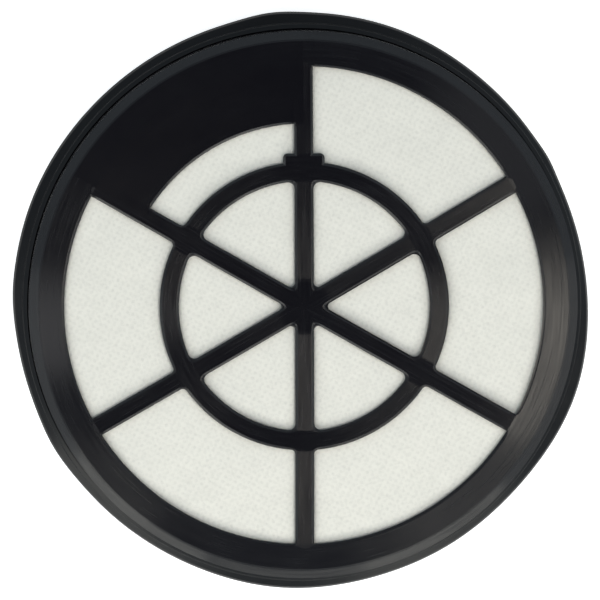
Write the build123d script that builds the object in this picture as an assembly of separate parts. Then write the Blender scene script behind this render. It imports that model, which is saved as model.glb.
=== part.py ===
"""Round exhaust filter: a domed, spoked frame with a soft seal ring round it and a fleece disc inside.

Lengths are in millimetres. The filter lies with its grille up: +Z is the front, +Y points at the key
pad, and the origin is the centre of the rear rim, on which the filter rests.
"""
import os
from math import pi, sin

from build123d import *

# Front face and skirt of the frame
FACE_RADIUS = 64.0
FACE_HEIGHT = 15.0
FACE_THICKNESS = 2.6
RIM_WIDTH = 6.3
BEVEL_WIDTH = 2.1
BEVEL_DROP = 1.2
BEVEL_EDGE = 0.2
SKIRT_WALL = 2.0

# Dome of the grille, which runs out at the bevel, and rise of its underside from the rim to the inner ring
DOME_RISE = 2.8
SEAT_RISE = 2.0

# Spokes, inner ring, blank sector and key pad
SPOKE_COUNT = 6
SPOKE_WIDTH = 4.5
KEY_SPOKE_ANGLE = 90.0
INNER_RING_RADIUS = 34.8
INNER_RING_WIDTH = 4.6
SHORT_WINDOW_WIDTH = 9.2
KEY_WIDTH = 10.0
KEY_REACH = 2.0
KEY_ROUND = 1.1
HUB_ROUND = 1.1
INNER_WINDOW_ROUND = 1.7
OUTER_WINDOW_ROUND = 1.2
WINDOW_EDGE = 0.3

# Shoulder that carries the seal, and ledge that holds the fleece in its pocket
SHOULDER_WIDTH = 0.9
SHOULDER_DROP = 8.4
LEDGE_REACH = 0.7

# Seal ring, a soft band over the shoulder with a broad sloping roof and a free lip beside the skirt
SEAL_WALL = 1.95
SEAL_ROOF = 1.0
SEAL_HEEL = 3.4
SEAL_HEEL_EDGE = 1.2
SEAL_CLEARANCE = 0.25
LIP_THICKNESS = 1.0
LIP_RISE = 1.0

# Fleece disc
FLEECE_THICKNESS = 5.0
FLEECE_CLEARANCE = 0.2

# Sizes that follow from the ones above
SKIRT_RADIUS = FACE_RADIUS + BEVEL_WIDTH
SKIRT_INNER_RADIUS = SKIRT_RADIUS - SKIRT_WALL
WINDOW_RADIUS = FACE_RADIUS - RIM_WIDTH
BLANK_RADIUS = INNER_RING_RADIUS + SHORT_WINDOW_WIDTH
CROWN_HEIGHT = FACE_HEIGHT + DOME_RISE
SEAT_HEIGHT = FACE_HEIGHT - FACE_THICKNESS
SEAT_TOP = SEAT_HEIGHT + SEAT_RISE
SEAT_BEND_RADIUS = INNER_RING_RADIUS - INNER_RING_WIDTH / 2
FLEECE_BOTTOM = SEAT_HEIGHT - FLEECE_THICKNESS
SHOULDER_HEIGHT = FACE_HEIGHT - SHOULDER_DROP
SHOULDER_RADIUS = SKIRT_RADIUS + SHOULDER_WIDTH
SECTOR_ANGLE = 360.0 / SPOKE_COUNT


def turned(section):
    """The ring that a half section makes when it is turned about the filter's axis."""
    return revolve(Plane.XZ * section, Axis.Z)


def frame_section():
    """Half section of the frame before its windows are cut, from the dome to the shoulder and the ledge."""
    outline = [
        TangentArc((0, CROWN_HEIGHT), (FACE_RADIUS, FACE_HEIGHT), tangent=(1, 0)),
        Polyline(
            (FACE_RADIUS, FACE_HEIGHT),
            (SKIRT_RADIUS, FACE_HEIGHT - BEVEL_DROP),
            (SKIRT_RADIUS, SHOULDER_HEIGHT),
            (SHOULDER_RADIUS, SHOULDER_HEIGHT),
            (SHOULDER_RADIUS, 0),
            (SKIRT_INNER_RADIUS - LEDGE_REACH, 0),
            (SKIRT_INNER_RADIUS - LEDGE_REACH, FLEECE_BOTTOM),
            (SKIRT_INNER_RADIUS, FLEECE_BOTTOM),
            (SKIRT_INNER_RADIUS, SEAT_HEIGHT),
            (SEAT_BEND_RADIUS, SEAT_TOP),
            (0, SEAT_TOP),
            (0, CROWN_HEIGHT),
        ),
    ]
    section = make_face(outline)
    bevel_end = section.vertices().sort_by_distance((FACE_RADIUS, FACE_HEIGHT))[0]
    return chamfer(bevel_end, BEVEL_EDGE)


def window(inner_radius, outer_radius):
    """Outline of the opening between two spokes, about the X axis, with sharp corners."""
    half_angle = SECTOR_ANGLE / 2
    apex = SPOKE_WIDTH / 2 / sin(half_angle * pi / 180)
    side = 2 * outer_radius
    edges = [
        PolarLine((apex, 0), side, half_angle),
        PolarLine((apex, 0), side, -half_angle),
    ]
    wedge = make_face(edges + [Line(edges[0] @ 1, edges[1] @ 1)])
    outline = wedge & Circle(outer_radius)
    if inner_radius > apex:
        outline -= Circle(inner_radius)
    return outline


def rounded(outline, radius, places):
    """The outline with some corners rounded, counted outwards from the hub."""
    return fillet(outline.vertices().sort_by_distance((0, 0))[places], radius)


def key_pad():
    """Outline of the key pad, which bulges from the inner ring across one spoke."""
    base = INNER_RING_RADIUS - INNER_RING_WIDTH / 2
    tip = INNER_RING_RADIUS + KEY_REACH
    pad = Pos((base + tip) / 2, 0) * Rectangle(tip - base, KEY_WIDTH)
    pad = fillet(pad.vertices().group_by(Axis.X)[-1], KEY_ROUND)
    return Rot(0, 0, KEY_SPOKE_ANGLE) * pad


def windows():
    """Outlines of all the openings in the grille, one inner and one outer in each sector."""
    inner = window(0, INNER_RING_RADIUS - INNER_RING_WIDTH)
    inner = rounded(inner, INNER_WINDOW_ROUND, slice(1, 3))
    inner = rounded(inner, HUB_ROUND, slice(0, 1))
    outer = rounded(window(INNER_RING_RADIUS, WINDOW_RADIUS), OUTER_WINDOW_ROUND, slice(0, 2))
    short = rounded(window(INNER_RING_RADIUS, BLANK_RADIUS), OUTER_WINDOW_ROUND, slice(0, 2))
    pad = key_pad()
    outlines = []
    for sector in range(SPOKE_COUNT):
        turn = Rot(0, 0, KEY_SPOKE_ANGLE + (sector + 0.5) * SECTOR_ANGLE)
        outlines.append(turn * inner)
        outlines.append(turn * (short if sector == 0 else outer) - pad)
    return outlines


def make_frame():
    """The moulded frame: the turned body with its windows and their broken front edges."""
    body = turned(frame_section())
    for outline in windows():
        body -= Pos(0, 0, SEAT_HEIGHT) * extrude(outline, CROWN_HEIGHT)
    front = body.faces().sort_by(Axis.Z)[-1]
    edges = [edge for wire in front.inner_wires() for edge in wire.edges()]
    return chamfer(edges, WINDOW_EDGE)


def make_seal_ring():
    """The soft seal: a heel outside the shoulder, a roof that slopes to the edge, and a lip on the roof."""
    lip_inner_radius = SKIRT_RADIUS + SEAL_CLEARANCE
    lip_outer_radius = lip_inner_radius + LIP_THICKNESS
    heel_radius = SHOULDER_RADIUS + SEAL_CLEARANCE
    seal_radius = heel_radius + SEAL_WALL
    heel_height = SHOULDER_HEIGHT - SEAL_HEEL
    roof_height = SHOULDER_HEIGHT + SEAL_ROOF
    lip_height = roof_height + LIP_RISE
    outline = Polyline(
        (seal_radius, SHOULDER_HEIGHT),
        (lip_outer_radius, roof_height),
        (lip_outer_radius, lip_height),
        (lip_inner_radius, lip_height),
        (lip_inner_radius, SHOULDER_HEIGHT),
        (heel_radius, SHOULDER_HEIGHT),
        (heel_radius, heel_height),
        (seal_radius - SEAL_HEEL_EDGE, heel_height),
        close=True,
    )
    return turned(make_face(outline))


def make_filter_fleece():
    """The fleece disc, pressed up against the underside of the grille and held there by the ledge."""
    outline = Polyline(
        (0, FLEECE_BOTTOM),
        (SKIRT_INNER_RADIUS, FLEECE_BOTTOM),
        (SKIRT_INNER_RADIUS, SEAT_HEIGHT),
        (SEAT_BEND_RADIUS, SEAT_TOP),
        (0, SEAT_TOP),
        close=True,
    )
    inside = Rectangle(2 * (SKIRT_INNER_RADIUS - FLEECE_CLEARANCE), 2 * CROWN_HEIGHT)
    return turned(make_face(outline) & inside)


def main():
    """Build each piece and write it to its own file."""
    pieces = {
        "frame": make_frame(),
        "seal_ring": make_seal_ring(),
        "filter_fleece": make_filter_fleece(),
    }
    os.makedirs("parts", exist_ok=True)
    for name, piece in pieces.items():
        export_step(piece, f"parts/{name}.step")


main()
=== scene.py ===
"""Looks of the round exhaust filter: finishes, soft seal, bonded fleece, light and camera.

Lengths are in metres, in the part's own frame: +Z is the front and +Y points at the key pad.
"""
from math import atan2, cos, exp, hypot, pi, radians, sin, tan

import bpy
from mathutils import Matrix, Vector, noise


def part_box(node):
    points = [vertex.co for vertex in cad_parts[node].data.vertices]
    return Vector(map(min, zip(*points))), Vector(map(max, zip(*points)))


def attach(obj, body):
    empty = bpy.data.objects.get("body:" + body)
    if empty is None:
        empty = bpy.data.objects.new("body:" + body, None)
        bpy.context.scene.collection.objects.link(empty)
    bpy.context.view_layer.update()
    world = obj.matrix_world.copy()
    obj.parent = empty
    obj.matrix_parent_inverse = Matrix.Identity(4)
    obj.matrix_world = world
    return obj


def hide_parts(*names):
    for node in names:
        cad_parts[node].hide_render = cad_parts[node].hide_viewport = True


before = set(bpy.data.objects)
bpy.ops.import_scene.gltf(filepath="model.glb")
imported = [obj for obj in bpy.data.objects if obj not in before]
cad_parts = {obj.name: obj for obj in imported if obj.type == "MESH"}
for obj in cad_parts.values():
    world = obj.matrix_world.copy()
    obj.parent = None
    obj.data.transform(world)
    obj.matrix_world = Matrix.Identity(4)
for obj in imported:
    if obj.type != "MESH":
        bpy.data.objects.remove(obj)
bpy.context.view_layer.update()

MM = 0.001

# Plan of the grille, as the frame has it
SPOKE_COUNT = 6
SPOKE_STEP = 2 * pi / SPOKE_COUNT
FIRST_SPOKE = radians(30)
SPOKE_WIDTH = 4.5 * MM
RING_INSIDE = 30.2 * MM
RING_OUTSIDE = 34.8 * MM
WINDOW_RADIUS = 57.7 * MM
BLANK_RADIUS = 44.0 * MM
BLANK_MIDDLE = radians(120)
KEY_WIDTH = 10.0 * MM
KEY_TIP = 36.8 * MM
FACE_RADIUS = 64.0 * MM
FACE_HEIGHT = 15.0 * MM
DOME_RISE = 2.8 * MM
EDGE_BREAK = 0.3 * MM

# Small forms that only the plastic's finish has: fall of the rim, dish of the spokes, rolled window edges
RIM_FALL = 0.085
SPOKE_DISH = 10.0
DISH_START = 2.4 * MM
DISH_FULL = 9.6 * MM
EDGE_WIDTH = 0.66 * MM
EDGE_BEND = 0.18 * MM
EDGE_SLOPE = 0.6
CORNER_SPREAD = 3.2 * MM

# Broken window edges, found by the upright part of their normal, which is lifted there
BROKEN_UPRIGHT = (0.55, 0.65, 0.77, 0.83)
BROKEN_LIFT = 0.47

# Tool marks in the plastic. The marks of one pair of spokes run through the inner ring
THROUGH_SPOKE = radians(150)
SAME_LINE_COSINE = 0.9
MARK_FADE = 0.3 * MM
RIM_RUN_IN = 0.96 * MM
HUB_RADIUS = 5.0 * MM
HUB_RUN_IN = 2.4 * MM
MARK_WIDTH = 0.5 * MM
MARK_LENGTH = 14.0 * MM
MARK_CONTRAST = (0.25, 0.75)
BLANK_CALM = 0.75

# Black plastic: colours, roughness and what marks and clouds add to it, and sizes of the noises
PLASTIC_DARK = (0.0036, 0.0033, 0.0052)
PLASTIC_LIGHT = (0.0058, 0.0054, 0.0074)
PLASTIC_ROUGHNESS = 0.168
MARK_ROUGHNESS = 0.095
CLOUD_ROUGHNESS = 0.05
PLASTIC_CLOUD = 9.0 * MM
PLASTIC_GRAIN = 0.12 * MM
GRAIN_HEIGHT = 0.10
MARK_DEPTH = 0.02 * MM

# Black rubber: colours, roughness and what its bloom adds to it, and sizes of the noises
RUBBER_DARK = (0.0055, 0.0056, 0.0070)
RUBBER_LIGHT = (0.0085, 0.0088, 0.0100)
RUBBER_ROUGHNESS = 0.18
BLOOM_ROUGHNESS = 0.10
RUBBER_BLOOM = 4.0 * MM
RUBBER_GRAIN = 0.15 * MM
RUBBER_DEPTH = 0.02 * MM

# White fleece: colours, fibres, and how much the dots, the clouds and the specks darken it
FLEECE_LIGHT = (0.860, 0.832, 0.765)
FLEECE_DARK = (0.690, 0.667, 0.613)
FIBRE_TURNS = (radians(20), radians(110))
FIBRE_WIDTH = 0.09 * MM
FIBRE_LENGTH = 0.9 * MM
FIBRE_DEPTH = 0.05 * MM
FLEECE_CLOUD = 2.2 * MM
FLEECE_SPECK = 0.75 * MM
SPECK_CONTRAST = (0.42, 0.75)
BOND_SHADE = 0.24
CLOUD_SHADE = 0.58
SPECK_SHADE = 0.32

# Section of the seal: the CAD ring's, with a steeper outer edge and a softer lip
SEAL_RADIUS = 69.2 * MM
SEAL_EDGE_HEIGHT = 7.05 * MM
SEAL_EDGE_WIDTH = 0.5 * MM
SEAL_EDGE_DROP = 0.8 * MM
ROOF_HEIGHT = 7.6 * MM
LIP_OUTSIDE = 67.35 * MM
LIP_STEP = 8.02 * MM
LIP_INSIDE = 66.3 * MM
LIP_HEIGHT = 8.45 * MM
SHOULDER_HEIGHT = 6.6 * MM
HEEL_INSIDE = 67.25 * MM
HEEL_OUTSIDE = 68.0 * MM
HEEL_HEIGHT = 3.2 * MM
OUTER_ROUND = 0.3 * MM
ROOF_ROUND = 0.15 * MM
LIP_ROUND = 0.25 * MM
LIP_TIP_ROUND = 0.05 * MM
SHOULDER_ROUND = 0.1 * MM
HEEL_ROUND = 0.2 * MM
SEAL_TURNS = 720
CORNER_STEPS = 5
CORNER_SHARE = 0.4
FLAT_HOLD = 0.02 * MM

# Waves of the soft seal: angle in degrees, spread in degrees and height of each swell
SEAL_SLACK = 0.30 * MM
SEAL_SWELLS = (
    (22, 16, -0.40 * MM),
    (30, 4, 0.30 * MM),
    (65, 10, 0.17 * MM),
    (82, 24, 0.77 * MM),
    (96, 6, 0.50 * MM),
    (115, 50, 0.55 * MM),
    (165, 24, 0.68 * MM),
    (178, 7, 0.28 * MM),
    (210, 7, 0.42 * MM),
    (266, 16, 0.58 * MM),
    (300, 14, 0.22 * MM),
    (341, 17, 1.15 * MM),
)

# Bond dots and loft of the fleece, and the underside of the grille that it is pressed against
BOND_PITCH = 1.414 * MM
BOND_TURN = radians(-28.5)
BOND_DIVISIONS = 4
BOND_RADIUS = 0.52 * MM
BOND_DEPTH = 0.05 * MM
BONDED_RADIUS = 58.8 * MM
FLEECE_DEPTH = 1.2 * MM
LOFT_START = -0.9 * MM
LOFT_END = -0.1 * MM
WAVE = 0.2 * MM
WAVE_LENGTH = 9.0 * MM
SEAT_TOP = 14.4 * MM
SEAT_BEND = 32.5 * MM
SEAT_RISE = 2.0 * MM
SEAT_RUN = 31.6 * MM
FLEECE_EDGE = 0.6 * MM
FLEECE_EDGE_STEPS = 3

# Camera, far away with a long lens
IMAGE_WIDTH = 144.2 * MM
IMAGE_PIXELS = 600
CAMERA_DISTANCE = 3.0
CAMERA_TILT = radians(6.5)
CAMERA_SIDE = radians(121.5)
CAMERA_ROLL = radians(-0.2)
FACE_PIXEL = (303.5, 305.1)
SENSOR_WIDTH = 36.0

# Lamps: bearing and height in degrees, width and height of the panel in metres, radiance and colour
LAMP_DISTANCE = 1.6
LAMPS = {
    "lamp_right": (-21, 62, 0.45, 0.4, 7.3, (1.0, 0.94, 0.84)),
    "lamp_near_right": (-50, 62, 0.36, 0.4, 1.6, (1.0, 0.97, 0.90)),
    "lamp_far_right": (28, 60, 0.5, 0.4, 1.0, (1.0, 1.0, 1.0)),
    "lamp_left": (197, 62, 0.30, 0.4, 3.4, (1.0, 1.0, 1.0)),
    "lamp_low_far_right": (-20, 26, 1.2, 0.34, 1.2, (1.0, 0.97, 0.90)),
    "lamp_low_right": (-60, 26, 0.80, 0.40, 4.5, (1.0, 0.97, 0.88)),
    "lamp_low_middle": (-90, 26, 0.72, 0.36, 2.4, (1.0, 0.97, 0.88)),
    "lamp_low_left": (-122, 27, 0.84, 0.40, 4.4, (1.0, 0.98, 0.90)),
    "lamp_low_far_left": (-160, 29, 1.15, 0.34, 1.4, (1.0, 0.99, 0.94)),
    "lamp_mid_right": (-67, 41, 0.36, 0.3, 2.6, (1.0, 0.97, 0.88)),
    "lamp_mid_left": (-129, 45, 0.46, 0.36, 4.2, (1.0, 0.98, 0.90)),
}

# Room: its light from the horizon upwards, by the upright part of the direction
ROOM_LIGHT = (
    (0.05, (0.95, 1.0, 1.0)),
    (0.09, (0.10, 0.11, 0.11)),
    (0.24, (0.10, 0.11, 0.11)),
    (0.33, (0.76, 0.88, 0.95)),
    (0.59, (0.74, 0.86, 0.93)),
    (0.67, (0.47, 0.54, 0.59)),
    (0.82, (0.44, 0.51, 0.56)),
    (0.90, (0.02, 0.02, 0.025)),
)

# White floor, and how much it shines in the picture and in reflections
FLOOR_REACH = 12.0
FLOOR_COLOUR = (0.85, 0.85, 0.85)
FLOOR_SHINE = 0.75


class Finish:
    """A material in the making, with short calls for the nodes that the finishes use."""

    def __init__(self, name):
        self.material = bpy.data.materials.new(name)
        self.material.use_nodes = True
        self.tree = self.material.node_tree
        self.shader = self.tree.nodes["Principled BSDF"]

    def feed(self, socket, value):
        """Put a link or a plain value on an input."""
        if isinstance(value, bpy.types.NodeSocket):
            self.tree.links.new(value, socket)
        else:
            socket.default_value = value

    def node(self, kind, inputs=None, **settings):
        """A new node with its settings and its inputs."""
        made = self.tree.nodes.new("ShaderNode" + kind)
        for key, value in settings.items():
            setattr(made, key, value)
        for key, value in (inputs or {}).items():
            self.feed(made.inputs[key], value)
        return made

    def math(self, operation, *values):
        """The result of one sum on up to three values."""
        made = self.node("Math", dict(enumerate(values)), operation=operation)
        return made.outputs[0]

    def length(self, x, y):
        """The length of a flat vector."""
        return self.math("SQRT", self.math("ADD", self.math("MULTIPLY", x, x), self.math("MULTIPLY", y, y)))

    def vector(self, x, y, z):
        """A vector from its three parts."""
        return self.node("CombineXYZ", {0: x, 1: y, 2: z}).outputs[0]

    def parts(self, vector):
        """The three parts of a vector."""
        return self.node("SeparateXYZ", {0: vector}).outputs

    def vector_math(self, operation, *vectors):
        """The result of one sum on one or two vectors."""
        return self.node("VectorMath", dict(enumerate(vectors)), operation=operation).outputs[0]

    def turned(self, vector, angle):
        """A vector turned about the axis."""
        inputs = {"Vector": vector, "Angle": angle}
        return self.node("VectorRotate", inputs, rotation_type="Z_AXIS").outputs[0]

    def ramp(self, value, low, high, start=0.0, end=1.0):
        """A smooth change from start to end while the value goes from low to high."""
        inputs = {0: value, 1: low, 2: high, 3: start, 4: end}
        return self.node("MapRange", inputs, interpolation_type="SMOOTHSTEP").outputs[0]

    def band(self, value, start, full, last, end):
        """A smooth rise from 0 at start to 1 at full, and a smooth fall from 1 at last to 0 at end."""
        return self.math("MULTIPLY", self.ramp(value, start, full), self.ramp(value, end, last))

    def clamp(self, value, low, high):
        """The value, kept between two others."""
        return self.node("Clamp", {0: value, 1: low, 2: high}).outputs[0]

    def blend(self, factor, first, second):
        """A vector between two others."""
        inputs = {0: factor, 4: first, 5: second}
        return self.node("Mix", inputs, data_type="VECTOR").outputs[1]

    def tint(self, factor, first, second):
        """A colour between two others."""
        inputs = {0: factor, 6: (*first, 1.0), 7: (*second, 1.0)}
        return self.node("Mix", inputs, data_type="RGBA").outputs[2]

    def noise(self, vector, scale, detail, roughness):
        """Even noise from 0 to 1 at a place, with a number of cells to the unit."""
        inputs = {"Vector": vector, "Scale": scale, "Detail": detail, "Roughness": roughness}
        return self.node("TexNoise", inputs).outputs["Fac"]

    def bump(self, height, strength, distance, normal=None):
        """A normal that a height field tilts."""
        made = self.node("Bump", {"Height": height, "Strength": strength, "Distance": distance})
        if normal is not None:
            self.feed(made.inputs["Normal"], normal)
        return made.outputs[0]

    def place(self):
        """The point's place on its piece."""
        return self.node("TexCoord").outputs["Object"]

    def set(self, **inputs):
        """Put values or links on the shader's inputs, named with low dashes for spaces."""
        for key, value in inputs.items():
            self.feed(self.shader.inputs[key.replace("_", " ")], value)


class GrillePlan:
    """Where a point of the plastic lies in the grille, as values in a finish's nodes."""

    def __init__(self, finish):
        self.point = finish.place()
        parts = finish.parts(self.point)
        self.radius = finish.length(parts[0], parts[1])
        self.angle = finish.math("ARCTAN2", parts[1], parts[0])

        # The nearest spoke, and the place along it and beside it
        steps = finish.math("DIVIDE", finish.math("SUBTRACT", self.angle, FIRST_SPOKE), SPOKE_STEP)
        self.count = finish.math("ROUND", steps)
        self.spoke = finish.math("MULTIPLY_ADD", self.count, SPOKE_STEP, FIRST_SPOKE)
        self.off = finish.math("SUBTRACT", self.angle, self.spoke)
        self.along = finish.math("MULTIPLY", self.radius, finish.math("COSINE", self.off))
        self.across = finish.math("MULTIPLY", self.radius, finish.math("SINE", self.off))
        self.beside = finish.math("ABSOLUTE", self.across)

        # The blank sector, from hub to edge, and its closed part
        from_middle = finish.math("ABSOLUTE", finish.math("SUBTRACT", self.angle, BLANK_MIDDLE))
        self.blank_sector = finish.math("LESS_THAN", from_middle, SPOKE_STEP / 2)
        closed = finish.ramp(self.radius, BLANK_RADIUS - MARK_FADE, BLANK_RADIUS)
        self.in_blank = finish.math("MULTIPLY", closed, self.blank_sector)

        # How far inside the key pad's outline the point lies
        from_side = finish.math("SUBTRACT", KEY_WIDTH / 2, finish.math("ABSOLUTE", parts[0]))
        from_tip = finish.math("SUBTRACT", KEY_TIP, parts[1])
        from_base = finish.math("SUBTRACT", parts[1], RING_INSIDE)
        self.from_pad = finish.math("MINIMUM", from_side, finish.math("MINIMUM", from_tip, from_base))


def marks_round_axis(finish, plan):
    """Where the marks run round the axis: the rings, the key pad and the blank sector, but not the spokes."""
    on_ring = finish.band(
        plan.radius, RING_INSIDE - MARK_FADE, RING_INSIDE, RING_OUTSIDE, RING_OUTSIDE + MARK_FADE
    )
    from_through = finish.math("COSINE", finish.math("SUBTRACT", plan.spoke, THROUGH_SPOKE))
    is_through = finish.math("GREATER_THAN", finish.math("ABSOLUTE", from_through), SAME_LINE_COSINE)
    on_width = finish.ramp(plan.beside, 0.8 * SPOKE_WIDTH, 0.6 * SPOKE_WIDTH)
    through = finish.math("MULTIPLY", is_through, on_width)
    on_ring = finish.math("MULTIPLY", on_ring, finish.math("SUBTRACT", 1.0, through))

    # The spokes' marks run a little way into the rim
    run_in = finish.ramp(plan.beside, SPOKE_WIDTH / 2, SPOKE_WIDTH / 6, 0.0, RIM_RUN_IN)
    reached = finish.math("SUBTRACT", plan.radius, run_in)
    on_rim = finish.ramp(reached, WINDOW_RADIUS - MARK_FADE, WINDOW_RADIUS)

    on_pad = finish.math("GREATER_THAN", plan.from_pad, 0.0)
    on_rings = finish.math("MAXIMUM", finish.math("MAXIMUM", on_ring, on_rim), on_pad)
    return finish.math("MAXIMUM", on_rings, plan.in_blank)


def highlight_direction(finish, plan, round_axis):
    """The way the highlight spreads, which is across the marks."""
    outward = finish.vector(finish.math("COSINE", plan.angle), finish.math("SINE", plan.angle), 0.0)
    doubled = finish.math("MULTIPLY", finish.math("SUBTRACT", plan.spoke, FIRST_SPOKE), 2.0)
    side = finish.math("SIGN", finish.math("COSINE", doubled))
    sideways = finish.vector(
        finish.math("MULTIPLY", finish.math("SINE", plan.spoke), finish.math("MULTIPLY", side, -1.0)),
        finish.math("MULTIPLY", finish.math("COSINE", plan.spoke), side),
        0.0,
    )
    at_hub = finish.ramp(plan.radius, HUB_RADIUS + HUB_RUN_IN, HUB_RADIUS)
    upright = finish.vector(0.0, finish.math("SIGN", finish.math("SINE", plan.spoke)), 0.0)
    across_spoke = finish.blend(at_hub, sideways, upright)
    return finish.vector_math("NORMALIZE", finish.blend(round_axis, across_spoke, outward))


def mark_lines(finish, plan, round_axis):
    """Fine lines, long along the marks and narrow across them, and faint in the blank sector."""
    ring_point = finish.vector(
        finish.math("DIVIDE", plan.radius, MARK_WIDTH),
        finish.math("MULTIPLY", finish.math("COSINE", plan.angle), WINDOW_RADIUS / MARK_LENGTH),
        finish.math("MULTIPLY", finish.math("SINE", plan.angle), WINDOW_RADIUS / MARK_LENGTH),
    )
    spoke_point = finish.vector(
        finish.math("DIVIDE", plan.across, MARK_WIDTH),
        finish.math("DIVIDE", plan.along, MARK_LENGTH),
        plan.count,
    )
    lines = finish.noise(finish.blend(round_axis, spoke_point, ring_point), 1.0, detail=3.0, roughness=0.6)
    strength = finish.math("MULTIPLY_ADD", plan.in_blank, -BLANK_CALM, 1.0)
    return finish.math("MULTIPLY", finish.ramp(lines, *MARK_CONTRAST), strength)


def inset_from_windows(finish, plan):
    """How far a point lies from the edges of the windows, whose corners are rounded."""
    from_inside = finish.math("SUBTRACT", plan.radius, RING_INSIDE)
    from_outside = finish.math("SUBTRACT", RING_OUTSIDE, plan.radius)
    on_ring = finish.math("MINIMUM", from_inside, from_outside)
    on_rim = finish.math("SUBTRACT", plan.radius, WINDOW_RADIUS)
    on_rim = finish.math("MULTIPLY_ADD", plan.blank_sector, WINDOW_RADIUS - BLANK_RADIUS, on_rim)
    to_next = finish.math("SUBTRACT", SPOKE_STEP, finish.math("ABSOLUTE", plan.off))
    beside_next = finish.math("MULTIPLY", plan.radius, finish.math("SINE", to_next))
    on_spokes = finish.math(
        "SMOOTH_MAX",
        finish.math("SUBTRACT", SPOKE_WIDTH / 2, plan.beside),
        finish.math("SUBTRACT", SPOKE_WIDTH / 2, beside_next),
        CORNER_SPREAD,
    )
    inset = finish.math("SMOOTH_MAX", on_spokes, finish.math("MAXIMUM", on_ring, on_rim), CORNER_SPREAD)
    return finish.math("MAXIMUM", inset, plan.from_pad)


def small_forms(finish, plan):
    """Height of the small forms: the rim's fall, the spokes' dish and the rolled edges of the windows."""
    fall = finish.math("MULTIPLY", finish.clamp(plan.radius, WINDOW_RADIUS, FACE_RADIUS), -RIM_FALL)
    inner_half = (2 * HUB_RADIUS, 3 * HUB_RADIUS, RING_INSIDE - DISH_FULL, RING_INSIDE - DISH_START)
    outer_half = (
        RING_OUTSIDE + DISH_START,
        RING_OUTSIDE + DISH_FULL,
        WINDOW_RADIUS - DISH_FULL,
        WINDOW_RADIUS - DISH_START,
    )
    on_spoke = finish.math(
        "ADD", finish.band(plan.radius, *inner_half), finish.band(plan.radius, *outer_half)
    )
    inside = finish.math("MINIMUM", plan.beside, SPOKE_WIDTH / 2)
    dish = finish.math("MULTIPLY", finish.math("MULTIPLY", inside, inside), SPOKE_DISH)
    form = finish.math("MULTIPLY_ADD", dish, on_spoke, fall)

    # An edge bends over and then slopes down to the broken edge
    inset = inset_from_windows(finish, plan)
    slope_end = EDGE_WIDTH - EDGE_BEND
    bent = finish.clamp(finish.math("SUBTRACT", EDGE_WIDTH, inset), 0.0, EDGE_BEND)
    sloped = finish.clamp(finish.math("SUBTRACT", slope_end, inset), 0.0, slope_end - EDGE_BREAK)
    fallen = finish.math("MULTIPLY_ADD", finish.math("MULTIPLY", bent, bent), 0.5 / EDGE_BEND, sloped)
    return finish.math("MULTIPLY_ADD", fallen, -EDGE_SLOPE, form)


def softened_normal(finish):
    """The surface's own normal, lifted on the broken edges of the windows."""
    normal = finish.node("NewGeometry").outputs["Normal"]
    broken = finish.band(finish.parts(normal)[2], *BROKEN_UPRIGHT)
    lift = finish.vector(0.0, 0.0, finish.math("MULTIPLY", broken, BROKEN_LIFT))
    return finish.vector_math("NORMALIZE", finish.vector_math("ADD", normal, lift))


def plastic_finish():
    """Black moulded plastic with fine tool marks: round the rings and along the spokes."""
    finish = Finish("frame_plastic_finish")
    plan = GrillePlan(finish)
    round_axis = marks_round_axis(finish, plan)
    lines = mark_lines(finish, plan, round_axis)
    cloud = finish.noise(plan.point, 1 / PLASTIC_CLOUD, detail=3.0, roughness=0.55)
    grain = finish.noise(plan.point, 1 / PLASTIC_GRAIN, detail=2.0, roughness=0.5)
    roughness = finish.math("MULTIPLY_ADD", lines, MARK_ROUGHNESS, PLASTIC_ROUGHNESS)
    roughness = finish.math("MULTIPLY_ADD", cloud, CLOUD_ROUGHNESS, roughness)
    height = finish.math("MULTIPLY_ADD", grain, GRAIN_HEIGHT, lines)
    forms = small_forms(finish, plan)
    formed = finish.bump(forms, strength=1.0, distance=1.0, normal=softened_normal(finish))
    finish.set(
        Base_Color=finish.tint(cloud, PLASTIC_DARK, PLASTIC_LIGHT),
        Roughness=roughness,
        Specular_IOR_Level=0.38,
        Anisotropic=0.95,
        Tangent=highlight_direction(finish, plan, round_axis),
        Normal=finish.bump(height, strength=0.09, distance=MARK_DEPTH, normal=formed),
    )
    return finish.material


def rubber_finish():
    """Black soft rubber, matte, with a faint bloom and a fine grain."""
    finish = Finish("seal_rubber_finish")
    point = finish.place()
    bloom = finish.noise(point, 1 / RUBBER_BLOOM, detail=3.0, roughness=0.6)
    grain = finish.noise(point, 1 / RUBBER_GRAIN, detail=2.0, roughness=0.5)
    finish.set(
        Base_Color=finish.tint(bloom, RUBBER_DARK, RUBBER_LIGHT),
        Roughness=finish.math("MULTIPLY_ADD", bloom, BLOOM_ROUGHNESS, RUBBER_ROUGHNESS),
        Specular_IOR_Level=0.22,
        Normal=finish.bump(grain, strength=0.12, distance=RUBBER_DEPTH),
    )
    return finish.material


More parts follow.
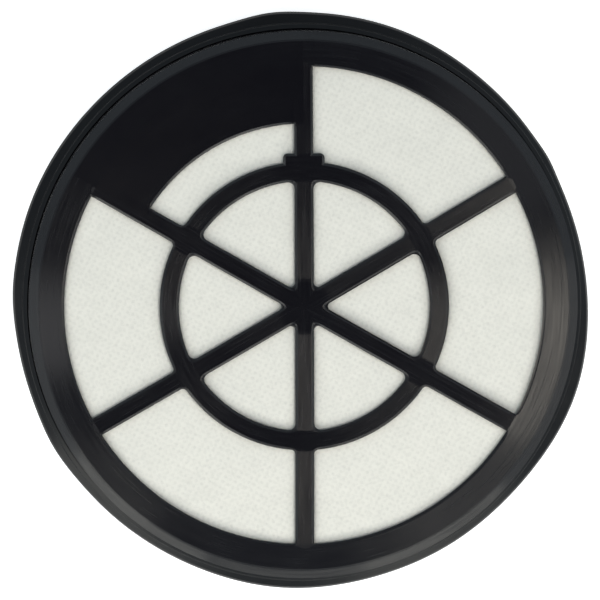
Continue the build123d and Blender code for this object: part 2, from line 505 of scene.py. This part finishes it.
def fleece_finish():
    """White nonwoven fleece: matted fibres with a fine square grid of bond dots."""
    finish = Finish("white_fleece_finish")
    point = finish.place()
    grid = finish.parts(finish.turned(point, -BOND_TURN))
    offsets = []
    for part in (grid[0], grid[1]):
        share = finish.math("PINGPONG", finish.math("DIVIDE", part, BOND_PITCH), 0.5)
        offsets.append(finish.math("MULTIPLY", share, BOND_PITCH))
    bonded = finish.ramp(finish.length(*offsets), BOND_RADIUS, 0.5 * BOND_RADIUS)

    # Fibres lie in all directions, so two stretched noises cross each other
    stretch = (1 / FIBRE_WIDTH, 1 / FIBRE_LENGTH, 0.0)
    fibres = []
    for turn in FIBRE_TURNS:
        stretched = finish.vector_math("MULTIPLY", finish.turned(point, turn), stretch)
        fibres.append(finish.noise(stretched, 1.0, detail=3.0, roughness=0.65))
    matted = finish.math("MAXIMUM", *fibres)

    cloud = finish.noise(point, 1 / FLEECE_CLOUD, detail=4.0, roughness=0.6)
    speck = finish.noise(point, 1 / FLEECE_SPECK, detail=2.0, roughness=0.55)
    shade = finish.math("MULTIPLY_ADD", bonded, BOND_SHADE, finish.math("MULTIPLY", cloud, CLOUD_SHADE))
    shade = finish.math("MULTIPLY_ADD", finish.ramp(speck, *SPECK_CONTRAST), SPECK_SHADE, shade)
    finish.set(
        Base_Color=finish.tint(shade, FLEECE_LIGHT, FLEECE_DARK),
        Roughness=0.95,
        Sheen_Weight=0.15,
        Normal=finish.bump(matted, strength=0.35, distance=FIBRE_DEPTH),
    )
    return finish.material


def new_piece(name, points, faces, material, smooth=True):
    """A mesh piece from its points and faces."""
    mesh = bpy.data.meshes.new(name)
    mesh.from_pydata(points, [], faces)
    mesh.polygons.foreach_set("use_smooth", [smooth] * len(mesh.polygons))
    mesh.materials.append(material)
    mesh.update()
    piece = bpy.data.objects.new(name, mesh)
    bpy.context.scene.collection.objects.link(piece)
    return piece


def rounded_section(corners):
    """Points of a closed section with rounded corners, each a radius, a height, a rounding and a sway."""
    points = []
    for i, (r, z, rounding, sway) in enumerate(corners):
        here = Vector((r, z))
        before = Vector(corners[i - 1][:2]) - here
        after = Vector(corners[(i + 1) % len(corners)][:2]) - here
        half = before.angle(after) / 2
        reach = min(rounding / tan(half), CORNER_SHARE * before.length, CORNER_SHARE * after.length)
        start = here + before.normalized() * reach
        end = here + after.normalized() * reach
        bend = [start + before.normalized() * FLAT_HOLD]
        for k in range(CORNER_STEPS):
            t = k / (CORNER_STEPS - 1)
            bend.append(start * (1 - t) ** 2 + here * 2 * t * (1 - t) + end * t ** 2)
        bend.append(end + after.normalized() * FLAT_HOLD)
        points += [(point.x, point.y, sway) for point in bend]
    return points


def seal_sway(angle):
    """How far the soft seal stands out of round at an angle in degrees."""
    sway = -SEAL_SLACK
    for middle, spread, height in SEAL_SWELLS:
        off = (angle - middle + 180) % 360 - 180
        sway += height * exp(-(off / spread) ** 2)
    return sway


def make_seal(material):
    """The soft seal ring: a section with rounded corners, swept along a slightly wavy path."""
    section = rounded_section((
        (SEAL_RADIUS, SEAL_EDGE_HEIGHT - SEAL_EDGE_DROP, OUTER_ROUND, 1.0),
        (SEAL_RADIUS - SEAL_EDGE_WIDTH, SEAL_EDGE_HEIGHT, OUTER_ROUND, 1.0),
        (LIP_OUTSIDE, ROOF_HEIGHT, ROOF_ROUND, 0.2),
        (LIP_OUTSIDE, LIP_STEP, LIP_ROUND, 0.1),
        (LIP_INSIDE, LIP_HEIGHT, LIP_TIP_ROUND, 0.0),
        (LIP_INSIDE, SHOULDER_HEIGHT, SHOULDER_ROUND, 0.0),
        (HEEL_INSIDE, SHOULDER_HEIGHT, SHOULDER_ROUND, 0.0),
        (HEEL_INSIDE, HEEL_HEIGHT, HEEL_ROUND, 0.2),
        (HEEL_OUTSIDE, HEEL_HEIGHT, OUTER_ROUND, 0.6),
    ))
    points = []
    faces = []
    count = len(section)
    for turn in range(SEAL_TURNS):
        degrees = 360 * turn / SEAL_TURNS
        angle = radians(degrees)
        swell = seal_sway(degrees)
        for r, z, sway in section:
            reach = r + swell * sway
            points.append((reach * cos(angle), reach * sin(angle), z))
        here = turn * count
        there = (turn + 1) % SEAL_TURNS * count
        for k in range(count):
            after = (k + 1) % count
            faces.append((here + after, here + k, there + k, there + after))
    seal = new_piece("soft_seal", points, faces, material)
    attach(seal, "root")
    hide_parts("seal_ring")


def depth_in_window(x, y):
    """How far a point of the plan lies inside its window, which is less than nothing under the grille."""
    r = hypot(x, y)
    off = (atan2(y, x) - FIRST_SPOKE) % SPOKE_STEP
    beside = r * sin(min(off, SPOKE_STEP - off)) - SPOKE_WIDTH / 2
    if r < (RING_INSIDE + RING_OUTSIDE) / 2:
        between = RING_INSIDE - r
    else:
        blank = abs(atan2(y, x) - BLANK_MIDDLE) < SPOKE_STEP / 2
        between = min(r - RING_OUTSIDE, (BLANK_RADIUS if blank else WINDOW_RADIUS) - r)
    return min(beside, between)


def seat_height(r):
    """Height of the grille's underside, which the fleece is pressed against."""
    return SEAT_TOP - SEAT_RISE / SEAT_RUN * max(0.0, r - SEAT_BEND)


def fleece_height(x, y, i, j):
    """Height of the fleece's face at a point of the bond grid."""
    rise = (depth_in_window(x, y) - LOFT_START) / (LOFT_END - LOFT_START)
    wave = WAVE * noise.noise(Vector((x, y, 0)) / WAVE_LENGTH)
    front = FACE_HEIGHT + DOME_RISE * (1 - (hypot(x, y) / FACE_RADIUS) ** 2)
    seat = seat_height(hypot(x, y))
    loft = (front - FLEECE_DEPTH + wave - seat) * min(1.0, max(0.0, rise))
    step = BOND_PITCH / BOND_DIVISIONS
    half = BOND_DIVISIONS / 2
    reach = hypot((i + half) % BOND_DIVISIONS - half, (j + half) % BOND_DIVISIONS - half) * step
    pressed = max(0.0, 1 - (reach / BOND_RADIUS) ** 2)
    return seat + loft - BOND_DEPTH * pressed


def make_fleece(material):
    """The fleece disc: a lofted face with a pressed dot at each bond, a soft edge and a flat back."""
    low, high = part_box("filter_fleece")
    step = BOND_PITCH / BOND_DIVISIONS
    turn = Matrix.Rotation(BOND_TURN, 2)
    reach = int(BONDED_RADIUS / step)
    points = []
    faces = []
    index = {}
    for i in range(-reach, reach + 1):
        for j in range(-reach, reach + 1):
            if hypot(i, j) * step <= BONDED_RADIUS:
                place = turn @ Vector((i * step, j * step))
                index[i, j] = len(points)
                points.append((place.x, place.y, fleece_height(place.x, place.y, i, j)))
    used = [0] * len(points)
    for i, j in index:
        corners = [(i, j), (i + 1, j), (i + 1, j + 1), (i, j + 1)]
        if all(corner in index for corner in corners):
            face = tuple(index[corner] for corner in corners)
            faces.append(face)
            for k in face:
                used[k] += 1

    # The border of the grid is carried out to the disc's edge, round it and across the back
    border = [k for k, count in enumerate(used) if 0 < count < 4]
    border.sort(key=lambda k: atan2(points[k][1], points[k][0]))
    bends = [radians(90 * k / FLEECE_EDGE_STEPS) for k in range(FLEECE_EDGE_STEPS + 1)]
    rim = seat_height(high.x)
    rings = [(high.x - FLEECE_EDGE * (1 - sin(b)), rim - FLEECE_EDGE * (1 - cos(b))) for b in bends]
    rings += [(r, low.z + rim - z) for r, z in reversed(rings)]
    last = border
    for r, z in rings:
        start = len(points)
        for k in border:
            angle = atan2(points[k][1], points[k][0])
            points.append((r * cos(angle), r * sin(angle), z))
        ring = list(range(start, len(points)))
        for k in range(len(ring)):
            after = (k + 1) % len(ring)
            faces.append((last[k], ring[k], ring[after], last[after]))
        last = ring
    faces.append(tuple(reversed(last)))

    # Grid points outside every face are dropped
    kept = sorted({k for face in faces for k in face})
    renumbered = {k: n for n, k in enumerate(kept)}
    faces = [tuple(renumbered[k] for k in face) for face in faces]
    fleece = new_piece("bonded_fleece", [points[k] for k in kept], faces, material)
    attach(fleece, "root")
    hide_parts("filter_fleece")


def make_floor():
    """A wide white floor, which looks white to the camera and in reflections and still takes the shadow."""
    finish = Finish("floor_white")
    rays = finish.node("LightPath").outputs
    seen = finish.math("MAXIMUM", rays["Is Camera Ray"], rays["Is Glossy Ray"])
    seen = finish.math("MAXIMUM", seen, rays["Is Transmission Ray"])
    finish.set(
        Base_Color=(*FLOOR_COLOUR, 1.0),
        Roughness=0.9,
        Emission_Color=(1.0, 1.0, 1.0, 1.0),
        Emission_Strength=finish.math("MULTIPLY", seen, FLOOR_SHINE),
    )
    corners = [(x * FLOOR_REACH, y * FLOOR_REACH, 0.0) for x, y in ((-1, -1), (1, -1), (1, 1), (-1, 1))]
    new_piece("floor", corners, [(0, 1, 2, 3)], finish.material, smooth=False)


def make_world():
    """A pale room, bright at the horizon and dim overhead."""
    world = bpy.data.worlds.new("room")
    bpy.context.scene.world = world
    world.use_nodes = True
    tree = world.node_tree
    direction = tree.nodes.new("ShaderNodeTexCoord").outputs["Generated"]
    parts = tree.nodes.new("ShaderNodeSeparateXYZ")
    tree.links.new(direction, parts.inputs[0])
    ramp = tree.nodes.new("ShaderNodeValToRGB")
    tree.links.new(parts.outputs[2], ramp.inputs[0])
    stops = ramp.color_ramp.elements
    for stop, (position, colour) in zip(stops, (ROOM_LIGHT[0], ROOM_LIGHT[-1])):
        stop.position = position
        stop.color = (*colour, 1.0)
    for position, colour in ROOM_LIGHT[1:-1]:
        stop = stops.new(position)
        stop.color = (*colour, 1.0)
    tree.links.new(ramp.outputs[0], tree.nodes["Background"].inputs["Color"])


def bearing(azimuth, elevation):
    """A direction from its bearing round the axis and its height over the floor."""
    return Vector((cos(azimuth) * cos(elevation), sin(azimuth) * cos(elevation), sin(elevation)))


def make_lamps():
    """Soft panels round the filter, each turned to it."""
    for name, (azimuth, elevation, width, height, radiance, colour) in LAMPS.items():
        data = bpy.data.lights.new(name, "AREA")
        data.shape = "RECTANGLE"
        data.size = width
        data.size_y = height
        data.energy = radiance * pi * width * height
        data.color = colour
        lamp = bpy.data.objects.new(name, data)
        direction = bearing(radians(azimuth), radians(elevation))
        lamp.location = direction * LAMP_DISTANCE
        lamp.rotation_euler = direction.to_track_quat("Z", "Y").to_euler()
        lamp.visible_camera = False
        bpy.context.scene.collection.objects.link(lamp)


def make_camera():
    """A camera that looks down on the grille from far away, a little from the upper left."""
    back = bearing(CAMERA_SIDE, pi / 2 - CAMERA_TILT)
    right = Vector((0, 1, 0)).cross(back).normalized()
    up = back.cross(right)
    turn = Matrix.Rotation(CAMERA_ROLL, 3, back)
    right, up = turn @ right, turn @ up
    pixel = IMAGE_WIDTH / IMAGE_PIXELS
    middle = (IMAGE_PIXELS - 1) / 2
    target = Vector((0, 0, FACE_HEIGHT))
    target += right * (middle - FACE_PIXEL[0]) * pixel + up * (FACE_PIXEL[1] - middle) * pixel
    data = bpy.data.cameras.new("camera")
    data.sensor_width = SENSOR_WIDTH
    data.lens = SENSOR_WIDTH * CAMERA_DISTANCE / IMAGE_WIDTH
    camera = bpy.data.objects.new("camera", data)
    pose = Matrix((right, up, back)).transposed().to_4x4()
    pose.translation = target + back * CAMERA_DISTANCE
    camera.matrix_world = pose
    bpy.context.scene.collection.objects.link(camera)
    bpy.context.scene.camera = camera


def main():
    """Dress the frame, add the soft pieces and set up the studio."""
    bpy.context.scene.view_settings.view_transform = "Standard"
    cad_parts["frame"].data.materials[0] = plastic_finish()
    make_seal(rubber_finish())
    make_fleece(fleece_finish())
    make_floor()
    make_world()
    make_lamps()
    make_camera()


main()
